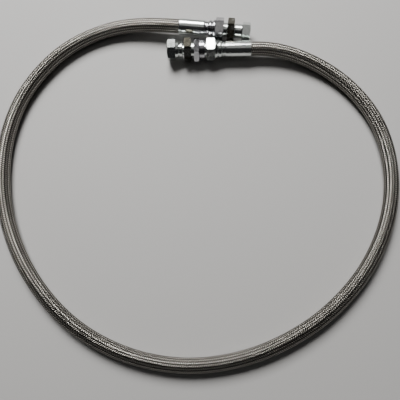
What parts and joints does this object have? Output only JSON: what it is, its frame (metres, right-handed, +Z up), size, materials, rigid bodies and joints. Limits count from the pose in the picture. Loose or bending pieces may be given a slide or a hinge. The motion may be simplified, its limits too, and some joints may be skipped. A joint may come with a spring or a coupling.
{
  "type": "braided supply line",
  "caption": "Flexible steel-braided hose laid in an open loop, crimped ferrules, a screwed hexagon adapter with a free end nut on each end.",
  "frame": {"origin": "on the surface it lies on, below the middle of the box round the two end fittings", "axes": "+X along the fittings, the way the inlet fitting points; +Z up; the loop lies towards -Y"},
  "size_m": [0.5104, 0.4522, 0.0312],
  "materials": {
    "steel_braid": "woven stainless wire",
    "hose_liner": "smooth translucent white",
    "bright_zinc": "bright zinc plate, faint blue-green",
    "dull_zinc": "dull, stained zinc plate",
    "spring_wire": "drawn wire",
    "seal_rubber": "matte black"
  },
  "bodies": {
    "root": {"hose_braid": "steel_braid", "hose_liner": "hose_liner", "inlet_ferrule": "bright_zinc", "inlet_tail": "bright_zinc", "inlet_tail_seal": "seal_rubber", "outlet_ferrule": "bright_zinc", "outlet_tail": "bright_zinc", "outlet_tail_seal": "seal_rubber", "outlet_tail_wire": "spring_wire"},
    "inlet_swivel_nut": {"inlet_swivel_nut": "bright_zinc"},
    "inlet_adapter": {"inlet_adapter": "dull_zinc", "inlet_adapter_wire": "spring_wire", "inlet_adapter_seal": "seal_rubber"},
    "inlet_end_nut": {"inlet_end_nut": "bright_zinc"},
    "outlet_swivel_nut": {"outlet_swivel_nut": "bright_zinc"},
    "outlet_adapter": {"outlet_adapter": "dull_zinc", "outlet_adapter_wire": "spring_wire", "outlet_adapter_seal": "seal_rubber"},
    "outlet_end_nut": {"outlet_end_nut": "bright_zinc"}
  },
  "joints": [
    {"name": "inlet_adapter_travel", "type": "slide", "parent": "root", "child": "inlet_adapter", "axis": [0.9952, -0.0983, 0], "range_m": [0, 0.00725]},
    {"name": "inlet_nut_turn", "type": "hinge", "parent": "root", "child": "inlet_swivel_nut", "pos_m": [0.01364, 0.01424, 0.01559], "axis": [-0.9952, 0.0983, 0], "range_deg": [0, 1440]},
    {"name": "inlet_end_nut_turn", "type": "hinge", "parent": "inlet_adapter", "child": "inlet_end_nut", "pos_m": [0.04399, 0.01124, 0.01559], "axis": [0.9952, -0.0983, 0], "continuous": true},
    {"name": "outlet_adapter_travel", "type": "slide", "parent": "root", "child": "outlet_adapter", "axis": [-1, -0.0087, 0], "range_m": [0, 0.00907]},
    {"name": "outlet_nut_turn", "type": "hinge", "parent": "root", "child": "outlet_swivel_nut", "pos_m": [-0.0128, -0.01399, 0.01512], "axis": [1, 0.0087, 0], "range_deg": [0, 1800]},
    {"name": "outlet_end_nut_turn", "type": "hinge", "parent": "outlet_adapter", "child": "outlet_end_nut", "pos_m": [-0.0448, -0.01427, 0.01512], "axis": [-1, -0.0087, 0], "continuous": true}
  ],
  "couplings": [
    {"joint": "inlet_nut_turn", "follows": "inlet_adapter_travel", "rad_per_m": 3463.2},
    {"joint": "outlet_nut_turn", "follows": "outlet_adapter_travel", "rad_per_m": 3463.2}
  ]
}
